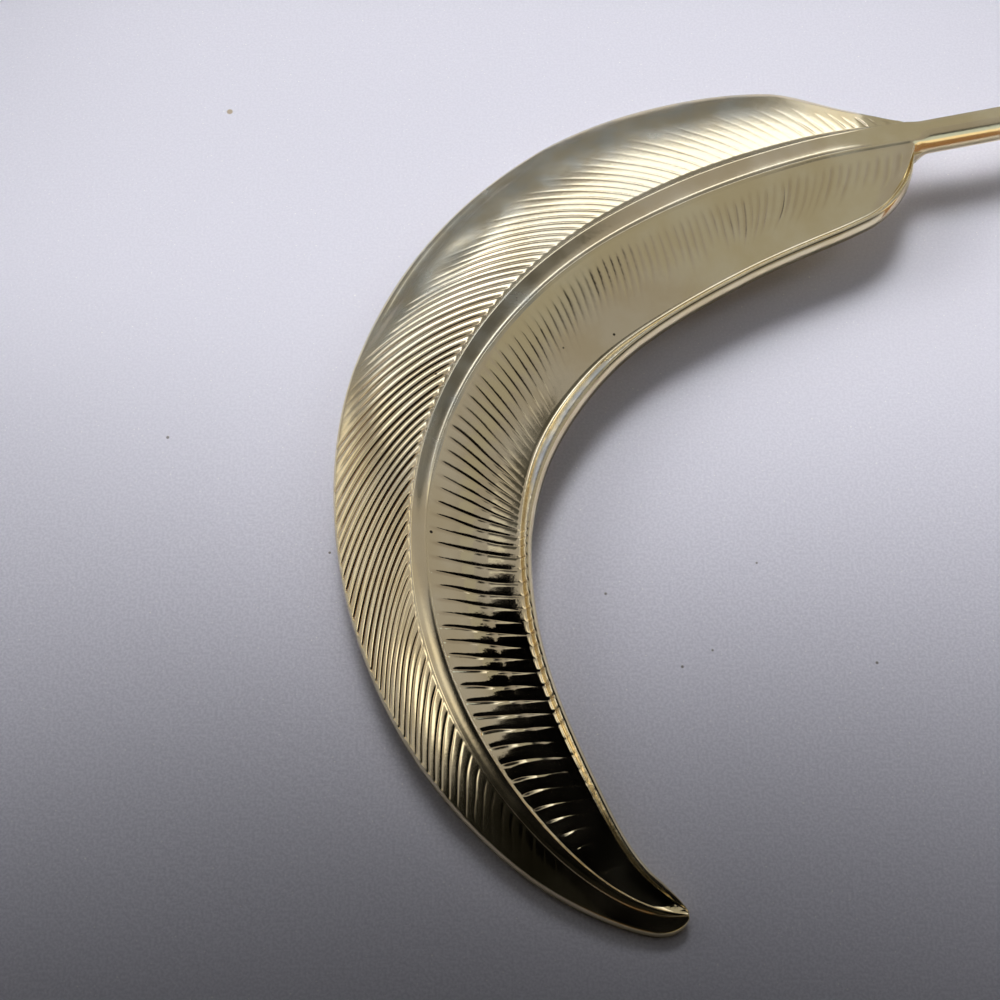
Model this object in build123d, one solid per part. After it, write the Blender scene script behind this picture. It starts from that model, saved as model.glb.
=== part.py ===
from build123d import *
import math
import os

# A cast metal brooch: one curved feather that lies on its back, with a plain
# pin finding behind it. Millimetres, +Z up, floor at Z = 0.
# The quill points to +X, the tip to -Y, and X = Y = 0 is the middle of the box.

# Feather, along the rachis from the end of the quill's rod to the tip
FEATHER_LENGTH = 88.5
FEATHER_TURN = 171.0
QUILL_LENGTH = 15.0
QUILL_DIAMETER = 2.6
QUILL_HEADING = 192.0

# Vanes, each measured from its side of the rachis
OUTER_VANE_WIDTH = 9.6
INNER_VANE_WIDTH = 7.6
WALL = 1.0
RIDGE_HEIGHT = 6.6
DOME_SLOPE = 0.6
DOME_POWER = 4.0
DISH_DEPTH = 0.95

# Rachis: a raised band with a bead along its inner side
RACHIS_WIDTH = 2.4
RACHIS_RISE = 0.32
BEAD_STEP = 0.5

# Raised rim round the inner vane, and the rounded corner at its base
RIM_WIDTH = 0.9
RIM_RISE = 0.42
FLANK_LEAN = 0.42
SHOULDER_LEAN = 0.25
CORNER_LENGTH = 6.0
TIP_ROUND = 2.2

# Barbs: engraved grooves that sweep from the rachis toward the tip
BARB_COUNT = 84
BARB_DEPTH = 0.15
PLAIN_BASE_LENGTH = 1.4
PLAIN_TIP_LENGTH = 4.6
OUTER_SWEEP = 0.8
INNER_SWEEP = 0.5

# Pin finding on the back
PIN_BAR_WIDTH = 3.0
PIN_BAR_THICKNESS = 0.7
PIN_BAR_START = 0.17
PIN_BAR_END = 0.49
PIN_WIRE_DIAMETER = 0.9
PIN_WIRE_HEIGHT = 1.5
PIN_FOOT_LENGTH = 2.6
PIN_TIP_LENGTH = 1.6
CATCH_CLEARANCE = 0.15
SEAT_GAP = 0.1

# Shares of the named sizes at stations along the feather.
# at: share of the length. turn: share of the turn from the quill's heading.
# outer, inner, rachis: widths. ridge: top of the rachis. rim: crest of the
# inner rim. edge: top of the outer edge. Heights are shares of the ridge's.
# dome: power of the outer vane's curve. dish: depth of the inner vane. bead: width
# of the rim's inner slope.
COLUMNS = (
    "at", "turn", "outer", "inner", "rachis", "ridge", "rim", "edge", "dome", "dish", "bead",
)
STATIONS = [
    (0.00, 0.000, 0.02, 0.64, 0.92, 0.88, 0.80, 0.82, 1.00, 0.10, 0.50),
    (0.05, 0.010, 0.31, 0.75, 0.94, 0.91, 0.79, 0.75, 1.00, 0.10, 0.50),
    (0.10, 0.036, 0.64, 0.84, 0.95, 0.94, 0.78, 0.70, 1.00, 0.12, 0.50),
    (0.20, 0.078, 0.90, 0.91, 1.00, 0.98, 0.76, 0.62, 1.00, 0.15, 0.50),
    (0.30, 0.134, 0.97, 0.95, 0.95, 1.00, 0.74, 0.58, 1.00, 0.20, 0.55),
    (0.40, 0.226, 0.89, 0.96, 0.86, 1.00, 0.73, 0.56, 0.98, 0.35, 0.90),
    (0.50, 0.322, 0.75, 0.96, 0.68, 1.00, 0.72, 0.54, 0.90, 0.60, 1.00),
    (0.60, 0.432, 0.58, 0.95, 0.56, 0.95, 0.69, 0.50, 0.75, 0.80, 0.60),
    (0.70, 0.536, 0.43, 0.91, 0.52, 0.86, 0.62, 0.43, 0.66, 0.90, 0.42),
    (0.80, 0.641, 0.31, 0.80, 0.47, 0.69, 0.50, 0.36, 0.62, 0.65, 0.40),
    (0.88, 0.722, 0.22, 0.62, 0.37, 0.50, 0.38, 0.28, 0.66, 0.40, 0.40),
    (0.95, 0.832, 0.14, 0.35, 0.25, 0.31, 0.26, 0.22, 0.70, 0.20, 0.40),
    (1.00, 1.000, 0.12, 0.16, 0.14, 0.20, 0.19, 0.18, 0.80, 0.10, 0.40),
]


def shares(name):
    """Read one column of the stations table as pairs (at, share)."""
    column = COLUMNS.index(name)
    return [(row[0], row[column]) for row in STATIONS]


def along(pairs, at):
    """Read a smooth curve through the pairs, one cubic between two stations."""
    last = len(pairs) - 1
    at = min(max(at, 0.0), 1.0)
    i = max(k for k in range(last) if pairs[k][0] <= at)

    def slope(k):
        a = pairs[max(k - 1, 0)]
        b = pairs[min(k + 1, last)]
        return (b[1] - a[1]) / (b[0] - a[0])

    (x0, y0), (x1, y1) = pairs[i], pairs[i + 1]
    step = x1 - x0
    u = (at - x0) / step
    start = (1 + 2 * u) * (1 - u) ** 2 * y0 + u * (1 - u) ** 2 * step * slope(i)
    end = u * u * (3 - 2 * u) * y1 + u * u * (u - 1) * step * slope(i + 1)
    return start + end


TURN = shares("turn")
OUTER = shares("outer")
INNER = shares("inner")
RACHIS = shares("rachis")
RIDGE = shares("ridge")
RIM = shares("rim")
EDGE = shares("edge")
DOME = shares("dome")
DISH = shares("dish")
BEAD = shares("bead")


def trace_rachis(count=400):
    """Follow the rachis from the quill joint, as (x, y, heading) samples."""
    x, y = 0.0, 0.0
    step = FEATHER_LENGTH / count
    samples = []
    for i in range(count + 1):
        heading = math.radians(QUILL_HEADING + FEATHER_TURN * along(TURN, i / count))
        samples.append((x, y, heading))
        x += step * math.cos(heading)
        y += step * math.sin(heading)
    return samples


RACHIS_LINE = trace_rachis()


def place(station, offset):
    """Plan position beside the rachis; a positive offset is the inner side."""
    last = len(RACHIS_LINE) - 1
    at = station / FEATHER_LENGTH * last
    i = min(max(int(at), 0), last - 1)
    u = min(max(at - i, 0.0), 1.0)
    (x0, y0, h0), (x1, y1, h1) = RACHIS_LINE[i], RACHIS_LINE[i + 1]
    heading = h0 + (h1 - h0) * u
    beyond = min(station, 0.0)
    x = x0 + (x1 - x0) * u + beyond * math.cos(heading) - offset * math.sin(heading)
    y = y0 + (y1 - y0) * u + beyond * math.sin(heading) + offset * math.cos(heading)
    return x, y


def tip_factor(station):
    """Round off the widths at the tip."""
    into = (station - FEATHER_LENGTH + TIP_ROUND) / TIP_ROUND
    return math.sqrt(1 - min(max(into, 0.0), 0.97) ** 2)


def corner_factor(station):
    """Round off the inner vane's corner at the base."""
    left = 1 - station / CORNER_LENGTH
    return math.sqrt(1 - min(max(left, 0.0), 0.999) ** 2)


def wall(station):
    """Wall thickness, thinner at the very tip."""
    return WALL * (0.6 + 0.4 * tip_factor(station))


def outer_width(station):
    return OUTER_VANE_WIDTH * along(OUTER, station / FEATHER_LENGTH) * tip_factor(station)


def inner_width(station):
    width = INNER_VANE_WIDTH * along(INNER, station / FEATHER_LENGTH)
    return width * tip_factor(station) * corner_factor(station)


def height(pairs, station):
    return RIDGE_HEIGHT * along(pairs, station / FEATHER_LENGTH)


def half_rachis(station):
    width = RACHIS_WIDTH * along(RACHIS, station / FEATHER_LENGTH)
    return width / 2 * tip_factor(station)


def end_station(station, sweep, width):
    """Where a barb that leaves the rachis at this station meets the edge."""
    left = FEATHER_LENGTH - station
    return station + min(sweep * width(max(station, 0.0)), 0.7 * left)


# Profile of the vanes, from the outer edge over the rachis to the inner flank,
# and back under the wall. Shares run from the rachis to the vane's edge.
OUTER_SHARES = (0.9, 0.7, 0.46, 0.22)
INNER_SHARES = (0.13, 0.36, 0.6, 0.82)
UNDER_INNER_SHARES = (0.8, 0.4)
UNDER_OUTER_SHARES = (0.35, 0.78)
BAND = ((-1.0, 1.0), (-0.75, 0.3), (-0.05, 0.75), (0.5, 0.35), (0.76, 0.0), (1.0, BEAD_STEP))
TOP_COUNT = 2 + len(OUTER_SHARES) + len(BAND) + len(INNER_SHARES) + 3
UNDER_COUNT = len(UNDER_INNER_SHARES) + 1 + len(UNDER_OUTER_SHARES)


def outer_point(station, share, cut=0.0, under=0.0):
    """A point of the outer vane; share 0 is at the rachis, 1 at the shoulder."""
    width = outer_width(end_station(station, OUTER_SWEEP, outer_width))
    sweep = end_station(station, OUTER_SWEEP, outer_width) - station
    at = station + sweep * share ** 1.2
    foot = height(RIDGE, at) - RACHIS_RISE * tip_factor(at)
    power = DOME_POWER * along(DOME, station / FEATHER_LENGTH)
    drop = DOME_SLOPE * share + (1 - DOME_SLOPE) * share ** power
    z = foot - (foot - height(EDGE, at)) * drop
    lean = min(SHOULDER_LEAN, width / 3)
    offset = half_rachis(station) + (width - lean) * share
    return at, -offset, z - under * wall(at) - cut * min(1.0, width / 3)


def inner_point(station, share, cut=0.0, under=0.0):
    """A point of the inner vane; share 0 is at the bead, 1 at the rim's foot."""
    width = inner_width(end_station(station, INNER_SWEEP, inner_width))
    sweep = end_station(station, INNER_SWEEP, inner_width) - station
    at = station + sweep * share ** 1.2
    rim_share = along(BEAD, (station + sweep) / FEATHER_LENGTH)
    rim = min(RIM_WIDTH * rim_share + FLANK_LEAN, 0.6 * width)
    depth = DISH_DEPTH * along(DISH, station / FEATHER_LENGTH)
    dish = depth * min(1.0, width / INNER_VANE_WIDTH)
    near = height(RIDGE, at) - BEAD_STEP * RACHIS_RISE * tip_factor(at)
    far = height(RIM, at) - RIM_RISE * min(1.0, width / 3)
    z = near + (far - near) * share - dish * math.sin(math.pi * share)
    offset = half_rachis(station) + (width - rim) * share
    return at, offset, z - under * wall(at) - cut * min(1.0, width / 3)


def vane_section(station, cut):
    """Closed section of both vanes along one barb on each side."""
    end_out = end_station(station, OUTER_SWEEP, outer_width)
    end_in = end_station(station, INNER_SWEEP, inner_width)
    half = half_rachis(station)
    outside = half + outer_width(end_out)
    inside = half + inner_width(end_in)
    lean = min(FLANK_LEAN, 0.25 * inner_width(end_in))
    section = [(end_out, -outside, height(EDGE, end_out) - 0.9 * wall(end_out))]
    section.append(outer_point(station, 1.0, 0.7 * cut))
    section += [outer_point(station, share, cut) for share in OUTER_SHARES]
    ridge = height(RIDGE, station)
    rise = RACHIS_RISE * tip_factor(station)
    section += [(station, half * side, ridge - rise * fall) for side, fall in BAND]
    section += [inner_point(station, share, cut) for share in INNER_SHARES]
    section.append(inner_point(station, 1.0, 0.4 * cut))
    section.append((end_in, inside - lean, height(RIM, end_in)))
    section.append((end_in, inside, height(RIM, end_in) - 1.1 * wall(end_in)))
    section += [inner_point(station, share, 0, 1) for share in UNDER_INNER_SHARES]
    section.append((station, 0.0, ridge - wall(station) - rise))
    section += [outer_point(station, share, 0, 1) for share in UNDER_OUTER_SHARES]
    return section


def rod_section(station, radius):
    """Round section of the quill, with as many points as the vanes have."""
    middle = height(RIDGE, 0.0) - QUILL_DIAMETER / 2
    angles = [200 - 220 * i / (TOP_COUNT - 1) for i in range(TOP_COUNT)]
    angles += [-20 - 140 * (i + 1) / (UNDER_COUNT + 1) for i in range(UNDER_COUNT)]
    turns = [math.radians(angle) for angle in angles]
    return [(station, radius * math.cos(a), middle + radius * math.sin(a)) for a in turns]


def blend(first, second, share):
    """Mix two sections point by point."""
    return [
        tuple(p + (q - p) * share for p, q in zip(one, two))
        for one, two in zip(first, second)
    ]


def feather_sections():
    """All sections from the end of the quill to the tip of the feather."""
    radius = QUILL_DIAMETER / 2
    joint = 0.6 * QUILL_DIAMETER
    sections = []
    for into, share in ((0.0, 0.35), (0.12, 0.75), (0.4, 0.94), (0.9, 1.0)):
        sections.append(rod_section(-QUILL_LENGTH + into * radius, share * radius))
    sections.append(rod_section(-0.5 * QUILL_LENGTH, radius))
    for share in (-1.0, -0.6, -0.3, 0.0, 0.12, 0.25):
        station = share * joint
        u = (share + 1.0) / 1.25
        mix = u * u * (3 - 2 * u)
        rod = rod_section(station, radius)
        sections.append(blend(rod, vane_section(station, 0.0), mix))
    base = 0.25 * joint
    left = PLAIN_BASE_LENGTH - base
    sections += [vane_section(base + left * u, 0.0) for u in (0.3, 0.65)]
    barbs_end = FEATHER_LENGTH - PLAIN_TIP_LENGTH
    pitch = (barbs_end - PLAIN_BASE_LENGTH) / BARB_COUNT
    for i in range(BARB_COUNT):
        start = PLAIN_BASE_LENGTH + i * pitch
        sections.append(vane_section(start, BARB_DEPTH))
        sections.append(vane_section(start + pitch / 2, 0.0))
    for u in (0.0, 0.25, 0.45, 0.62, 0.76, 0.87, 0.95, 1.0):
        sections.append(vane_section(barbs_end + PLAIN_TIP_LENGTH * u, 0.0))
    return sections


SECTIONS = feather_sections()
POINTS = [[(*place(at, side), z) for at, side, z in section] for section in SECTIONS]
LOWEST = min(z for ring in POINTS for x, y, z in ring)
MIDDLE = [
    (min(p[k] for ring in POINTS for p in ring) + max(p[k] for ring in POINTS for p in ring)) / 2
    for k in (0, 1)
]


def settle(x, y, z):
    """Bring a point to the part's frame: box centred in plan, tip on the floor."""
    return Vector(x - MIDDLE[0], y - MIDDLE[1], z - LOWEST)


def make_feather():
    """Skin the sections with triangles and close both ends."""
    rings = [[settle(*point) for point in ring] for ring in POINTS]
    count = len(rings[0])
    faces = []

    def add(a, b, c):
        faces.append(Face(Wire.make_polygon([a, b, c], close=True)))

    for near, far in zip(rings, rings[1:]):
        for j in range(count):
            k = (j + 1) % count
            add(near[j], far[j], far[k])
            add(near[j], far[k], near[k])
    for ring in (rings[0], rings[-1]):
        faces.append(Face(Wire.make_polygon(ring, close=True)))
    return Solid(Shell(faces))


def underside_facets():
    """Triangles of the wall's underside, in plan order."""
    facets = []
    for near, far in zip(POINTS, POINTS[1:]):
        for j in range(TOP_COUNT - 1, TOP_COUNT + UNDER_COUNT):
            k = (j + 1) % len(near)
            facets.append((near[j], far[j], far[k]))
            facets.append((near[j], far[k], near[k]))
    return [[settle(*point) for point in facet] for facet in facets]


def underside(facets, x, y):
    """Heights of the underside over a point of the floor, none beside the feather."""
    heights = []
    for a, b, c in facets:
        span = (b.X - a.X) * (c.Y - a.Y) - (c.X - a.X) * (b.Y - a.Y)
        if abs(span) < 1e-9:
            continue
        v = ((x - a.X) * (c.Y - a.Y) - (c.X - a.X) * (y - a.Y)) / span
        w = ((b.X - a.X) * (y - a.Y) - (x - a.X) * (b.Y - a.Y)) / span
        if v >= 0 and w >= 0 and v + w <= 1:
            heights.append(a.Z + v * (b.Z - a.Z) + w * (c.Z - a.Z))
    return heights


def make_pin_back():
    """Bar, hinge foot, catch foot and wire of the pin, as one plain piece."""
    start = settle(*place(PIN_BAR_START * FEATHER_LENGTH, 0.0), 0.0)
    end = settle(*place(PIN_BAR_END * FEATHER_LENGTH, 0.0), 0.0)
    chord = Vector(end.X - start.X, end.Y - start.Y)
    plan = Plane(
        origin=((start.X + end.X) / 2, (start.Y + end.Y) / 2, 0),
        x_dir=(chord.X, chord.Y, 0),
        z_dir=(0, 0, 1),
    )
    span = chord.length
    facets = underside_facets()

    def ceiling(middle, length):
        """Lowest underside over a stretch of the bar, less the seat's gap."""
        places = [
            plan.from_local_coords(Vector(middle + length * u / 2, PIN_BAR_WIDTH * v / 2, 0))
            for u in [i / 10 for i in range(-10, 11)]
            for v in (-1.0, -0.5, 0.0, 0.5, 1.0)
        ]
        heights = [z for spot in places for z in underside(facets, spot.X, spot.Y)]
        return min(heights) - SEAT_GAP

    low = (Align.CENTER, Align.CENTER, Align.MIN)
    top = ceiling(0.0, span)
    bar_low = top - PIN_BAR_THICKNESS
    length = span + PIN_FOOT_LENGTH
    bar = Pos(0, 0, bar_low) * Box(length, PIN_BAR_WIDTH, PIN_BAR_THICKNESS, align=low)
    radius = PIN_WIRE_DIAMETER / 2
    wire_length = span + PIN_TIP_LENGTH
    wire = Pos(-span / 2, 0, PIN_WIRE_HEIGHT) * Rot(0, 90, 0) * Cylinder(
        radius, wire_length, align=low
    )
    point = Pos(wire_length - span / 2, 0, PIN_WIRE_HEIGHT) * Rot(0, 90, 0) * Cone(
        radius, 0.2 * radius, PIN_TIP_LENGTH, align=low
    )
    piece = bar + wire + point
    slot = PIN_WIRE_DIAMETER + 2 * CATCH_CLEARANCE
    for side in (-1, 1):
        middle = side * span / 2
        seat = ceiling(middle, PIN_FOOT_LENGTH)
        foot = Box(PIN_FOOT_LENGTH, PIN_BAR_WIDTH, seat, align=low)
        foot = fillet(foot.edges().filter_by(Axis.Z), 0.2 * PIN_BAR_WIDTH)
        if side > 0:
            hook = Pos(0, 0, PIN_WIRE_HEIGHT - slot / 2) * Box(
                PIN_FOOT_LENGTH * 1.1,
                PIN_BAR_WIDTH / 2 + slot / 2,
                slot,
                align=(Align.CENTER, Align.MIN, Align.MIN),
            )
            foot -= Pos(0, -slot / 2, 0) * hook
        piece += Pos(middle, 0, 0) * foot
    return plan.location * piece


os.makedirs("parts", exist_ok=True)
feather = make_feather()
export_step(feather, "parts/feather.step")
pin_back = make_pin_back()
export_step(pin_back, "parts/pin_back.step")
for name, solid in (("feather", feather), ("pin_back", pin_back)):
    box = solid.bounding_box()
    print(name, len(solid.faces()), "faces", round(solid.volume, 1), "mm3", solid.is_valid)
    print("  from", box.min, "to", box.max)
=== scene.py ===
import math
import bpy
import numpy as np
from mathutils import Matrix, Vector


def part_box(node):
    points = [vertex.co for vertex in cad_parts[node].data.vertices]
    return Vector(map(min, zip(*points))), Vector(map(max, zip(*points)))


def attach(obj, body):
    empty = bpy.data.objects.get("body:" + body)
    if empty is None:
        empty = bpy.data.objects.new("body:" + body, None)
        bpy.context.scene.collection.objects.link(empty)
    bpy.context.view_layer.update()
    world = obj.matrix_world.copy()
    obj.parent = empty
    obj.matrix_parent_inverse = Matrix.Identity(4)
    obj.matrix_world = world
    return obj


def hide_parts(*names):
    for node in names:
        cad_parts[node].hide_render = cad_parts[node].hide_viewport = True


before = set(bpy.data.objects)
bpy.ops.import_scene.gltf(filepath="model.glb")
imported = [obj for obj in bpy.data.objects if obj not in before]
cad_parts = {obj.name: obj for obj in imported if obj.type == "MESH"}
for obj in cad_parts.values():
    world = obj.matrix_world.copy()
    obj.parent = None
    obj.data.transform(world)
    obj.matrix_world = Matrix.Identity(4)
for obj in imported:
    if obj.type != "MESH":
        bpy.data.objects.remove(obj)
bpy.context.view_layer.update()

# A curved feather brooch in pale gold metal, lying on a pale floor.
# Lengths are millimetres until a mesh is made, and metres from there on.
METRES = 0.001

# Feather: the same named sizes as the part's solids
FEATHER_LENGTH = 88.5
FEATHER_TURN = 171.0
QUILL_LENGTH = 15.0
QUILL_DIAMETER = 2.6
QUILL_HEADING = 192.0
OUTER_VANE_WIDTH = 9.6
INNER_VANE_WIDTH = 7.6
WALL = 1.0
RIDGE_HEIGHT = 6.6
DOME_SLOPE = 0.6
DOME_POWER = 4.0
DISH_DEPTH = 0.95
RACHIS_WIDTH = 2.4
RACHIS_RISE = 0.32
BEAD_STEP = 0.5
RIM_WIDTH = 0.9
RIM_RISE = 0.42
FLANK_LEAN = 0.42
SHOULDER_LEAN = 0.25
CORNER_LENGTH = 6.0
TIP_ROUND = 2.2
PLAIN_BASE_LENGTH = 1.4
PLAIN_TIP_LENGTH = 4.6
# How near the rounding of the tip and of the base corner comes to a point
TIP_REACH = 0.97
CORNER_REACH = 0.999
# The wall at the tip, the rim and the sweep of a barb at most, as shares
TIP_WALL = 0.6
RIM_MOST = 0.6
SWEEP_MOST = 0.7
# Heights of the cast edge, as shares of the wall
RIM_EDGE = 1.1
OUTER_EDGE = 0.9
# Length over which the quill blends into the feather, before the rachis starts
QUILL_JOINT = 0.6 * QUILL_DIAMETER

# Shares of the named sizes at stations along the feather, as in the solids.
# dome: power of the outer vane's curve. dish: depth of the inner vane.
COLUMNS = (
    "at", "turn", "outer", "inner", "rachis", "ridge", "rim", "edge", "dome", "dish", "bead",
)
STATIONS = [
    (0.00, 0.000, 0.02, 0.64, 0.92, 0.88, 0.80, 0.82, 1.00, 0.10, 0.50),
    (0.05, 0.010, 0.31, 0.75, 0.94, 0.91, 0.79, 0.75, 1.00, 0.10, 0.50),
    (0.10, 0.036, 0.64, 0.84, 0.95, 0.94, 0.78, 0.70, 1.00, 0.12, 0.50),
    (0.20, 0.078, 0.90, 0.91, 1.00, 0.98, 0.76, 0.62, 1.00, 0.15, 0.50),
    (0.30, 0.134, 0.97, 0.95, 0.95, 1.00, 0.74, 0.58, 1.00, 0.20, 0.55),
    (0.40, 0.226, 0.89, 0.96, 0.86, 1.00, 0.73, 0.56, 0.98, 0.35, 0.90),
    (0.50, 0.322, 0.75, 0.96, 0.68, 1.00, 0.72, 0.54, 0.90, 0.60, 1.00),
    (0.60, 0.432, 0.58, 0.95, 0.56, 0.95, 0.69, 0.50, 0.75, 0.80, 0.60),
    (0.70, 0.536, 0.43, 0.91, 0.52, 0.86, 0.62, 0.43, 0.66, 0.90, 0.42),
    (0.80, 0.641, 0.31, 0.80, 0.47, 0.69, 0.50, 0.36, 0.62, 0.65, 0.40),
    (0.88, 0.722, 0.22, 0.62, 0.37, 0.50, 0.38, 0.28, 0.66, 0.40, 0.40),
    (0.95, 0.832, 0.14, 0.35, 0.25, 0.31, 0.26, 0.22, 0.70, 0.20, 0.40),
    (1.00, 1.000, 0.12, 0.16, 0.14, 0.20, 0.19, 0.18, 0.80, 0.10, 0.40),
]

# Engraving along the feather. Pitches are millimetres along the rachis, sweeps
# are shares of the vane's width, reach is where the barbs fade out.
BARB_COLUMNS = (
    "at", "outer_pitch", "inner_pitch", "outer_sweep", "inner_sweep",
    "outer_reach", "inner_from", "inner_reach", "outer_cut", "inner_cut",
    "outer_pillow", "inner_pillow",
)
BARBS = [
    (0.00, 0.80, 0.80, 0.62, 0.70, 0.55, 0.10, 0.62, 0.6, 0.24, 0.20, 0.06),
    (0.10, 0.82, 0.76, 0.80, 0.75, 0.55, 0.10, 0.66, 0.09, 0.28, 0.03, 0.06),
    (0.15, 0.84, 0.74, 0.88, 0.60, 0.55, 0.10, 0.68, 0.07, 0.30, 0.03, 0.06),
    (0.20, 0.84, 0.72, 0.95, 0.20, 0.58, 0.10, 0.64, 0.09, 0.24, 0.03, 0.05),
    (0.30, 0.84, 0.66, 1.05, 0.42, 0.72, 0.08, 0.66, 0.22, 0.13, 0.08, 0.04),
    (0.38, 0.86, 0.70, 1.08, 0.42, 0.88, 0.05, 0.76, 0.55, 0.13, 0.26, 0.05),
    (0.46, 0.90, 0.90, 1.15, 0.42, 1.00, 0.01, 1.00, 1.0, 0.20, 0.75, 0.12),
    (0.54, 0.95, 1.02, 1.35, 0.40, 1.10, 0.00, 1.10, 1.1, 0.26, 0.90, 0.10),
    (0.62, 0.98, 1.05, 1.50, 0.12, 1.10, 0.00, 1.30, 1.1, 0.28, 0.85, 0.07),
    (0.70, 0.98, 1.08, 1.35, 0.26, 1.10, 0.00, 1.40, 0.7, 0.36, 0.30, 0.06),
    (0.80, 0.94, 1.18, 0.90, 0.38, 1.05, 0.00, 1.30, 0.45, 0.42, 0.12, 0.08),
    (0.88, 0.90, 1.22, 0.70, 0.45, 0.95, 0.05, 0.90, 0.4, 0.30, 0.10, 0.06),
    (0.95, 0.90, 1.25, 0.60, 0.50, 0.80, 0.20, 0.70, 0.2, 0.10, 0.05, 0.05),
    (1.00, 0.90, 1.25, 0.60, 0.50, 0.80, 0.20, 0.70, 0.0, 0.00, 0.00, 0.00),
]
BARB_SEED = 7
ROW_COUNT = 840
PILLOW_HEIGHT = 0.055
GROOVE_DEPTH = 0.075
# Width of a groove as a share of the pitch, and how much wider it is near the base
GROOVE_SHARE = 0.12
GOUGE_WIDEN = 0.7
GOUGE_FADE = (0.28, 0.44)
# Unevenness: the pitch and the depth as factors, the reach as a share of the
# width, and the wander in millimetres
PITCH_RANGE = (0.9, 1.1)
DEPTH_RANGE = (0.7, 1.25)
REACH_JITTER = 0.08
BARB_WANDER = 0.035
# Barbs start so far before the first centre and end so far past the last one
BARBS_BEFORE = 0.3
BARBS_AFTER = 0.5
# Vane width under which the relief gets shallower
RELIEF_WIDTH = 3.0
# Where the barbs fade in and out across a vane, as shares of its width from
# where they begin and from how far they reach
OUTER_FADE_IN = (0.0, 0.07)
OUTER_FADE_OUT = (-0.14, 0.06)
INNER_FADE_IN = (-0.02, 0.10)
INNER_FADE_OUT = (-0.25, 0.05)
INNER_START_JITTER = 0.3
# Powers of the barbs' curve over each vane
OUTER_BEND = 1.12
INNER_BEND = 1.7
# The inner vane's grooves get deeper near the bead: between these stations, by
# this share at the bead, less this share across the vane
INNER_DEEPER = (0.44, 0.54)
DEEPER_AT_BEAD = 0.7
DEEPER_FALL = 1.2
# Shoulder crease: a wider flank along the middle of the outer edge, and a line
# at CREASE_ACROSS of the vane's width
CREASE_LEAN = 0.45
CREASE_DEPTH = 0.07
CREASE_START = 0.27
CREASE_END = 0.50
CREASE_FADE = 0.06
CREASE_ACROSS = 0.955
CREASE_WIDTH = 0.025
# A small dent, longer along the feather than across it, with shallower grooves
DENT_AT = 0.385
DENT_ACROSS = 6.9
DENT_RADIUS = 1.0
DENT_STRETCH = 1.6
DENT_DEPTH = 0.10
DENT_WORN = 0.6
# The rim: power of its climb, and how far the barbs' scallops cut into it
RIM_POWER = 1.4
SCALLOP = 0.6
SCALLOP_START = (0.56, 0.62)
SCALLOP_END = (0.76, 0.82)
SCALLOP_ACROSS = (0.8, 1.1)
# The rim's flank at most, as a share of the inner vane's width
RIM_LEAN_MOST = 0.25
# Stations between which the rachis turns from a channel into a round bar
BAND_CHANGE = (0.52, 0.70)


def table(columns, rows):
    """Each column of a table as an array, under its name."""
    return {name: np.array([row[i] for row in rows]) for i, name in enumerate(columns)}


SHAPE = table(COLUMNS, STATIONS)
ENGRAVING = table(BARB_COLUMNS, BARBS)


def along(rows, name, at):
    """A smooth curve through one column, one cubic between two stations."""
    x, y = rows["at"], rows[name]
    at = np.clip(np.asarray(at, float), 0.0, 1.0)
    before = np.maximum(np.arange(len(x)) - 1, 0)
    after = np.minimum(np.arange(len(x)) + 1, len(x) - 1)
    slope = (y[after] - y[before]) / (x[after] - x[before])
    i = np.clip(np.searchsorted(x, at, side="right") - 1, 0, len(x) - 2)
    step = x[i + 1] - x[i]
    u = (at - x[i]) / step
    start = (1 + 2 * u) * (1 - u) ** 2 * y[i] + u * (1 - u) ** 2 * step * slope[i]
    end = u * u * (3 - 2 * u) * y[i + 1] + u * u * (u - 1) * step * slope[i + 1]
    return start + end


def smooth(low, high, value):
    """0 below low, 1 above high, and a smooth step between."""
    u = np.clip((np.asarray(value, float) - low) / (high - low), 0.0, 1.0)
    return u * u * (3 - 2 * u)


def trace_rachis(count=400):
    """Samples of the rachis as x, y and heading, from the quill joint."""
    at = np.arange(count + 1) / count
    heading = np.radians(QUILL_HEADING + FEATHER_TURN * along(SHAPE, "turn", at))
    step = FEATHER_LENGTH / count
    x = np.concatenate([[0.0], np.cumsum(step * np.cos(heading[:-1]))])
    y = np.concatenate([[0.0], np.cumsum(step * np.sin(heading[:-1]))])
    return at * FEATHER_LENGTH, x, y, heading


RACHIS_AT, RACHIS_X, RACHIS_Y, RACHIS_HEADING = trace_rachis()


def place(station, offset):
    """Plan position beside the rachis; a positive offset is the inner side."""
    heading = np.interp(station, RACHIS_AT, RACHIS_HEADING)
    beyond = np.minimum(station, 0.0)
    x = np.interp(station, RACHIS_AT, RACHIS_X) + beyond * np.cos(heading)
    y = np.interp(station, RACHIS_AT, RACHIS_Y) + beyond * np.sin(heading)
    return x - offset * np.sin(heading), y + offset * np.cos(heading)


def tip_factor(station):
    """1 along the feather, and a round fall at the tip."""
    into = (station - FEATHER_LENGTH + TIP_ROUND) / TIP_ROUND
    return np.sqrt(1 - np.clip(into, 0.0, TIP_REACH) ** 2)


def corner_factor(station):
    """1 along the feather, and a round fall at the inner vane's base corner."""
    left = 1 - station / CORNER_LENGTH
    return np.sqrt(1 - np.clip(left, 0.0, CORNER_REACH) ** 2)


def wall(station):
    return WALL * (TIP_WALL + (1 - TIP_WALL) * tip_factor(station))


def shape_at(name, station):
    return along(SHAPE, name, station / FEATHER_LENGTH)


def barb_at(name, station):
    return along(ENGRAVING, name, station / FEATHER_LENGTH)


def narrow_factor(width):
    """1 where the vane is wide, and less where the relief has no room."""
    return np.minimum(1.0, width / RELIEF_WIDTH)


def outer_width(station):
    return OUTER_VANE_WIDTH * shape_at("outer", station) * tip_factor(station)


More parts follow.
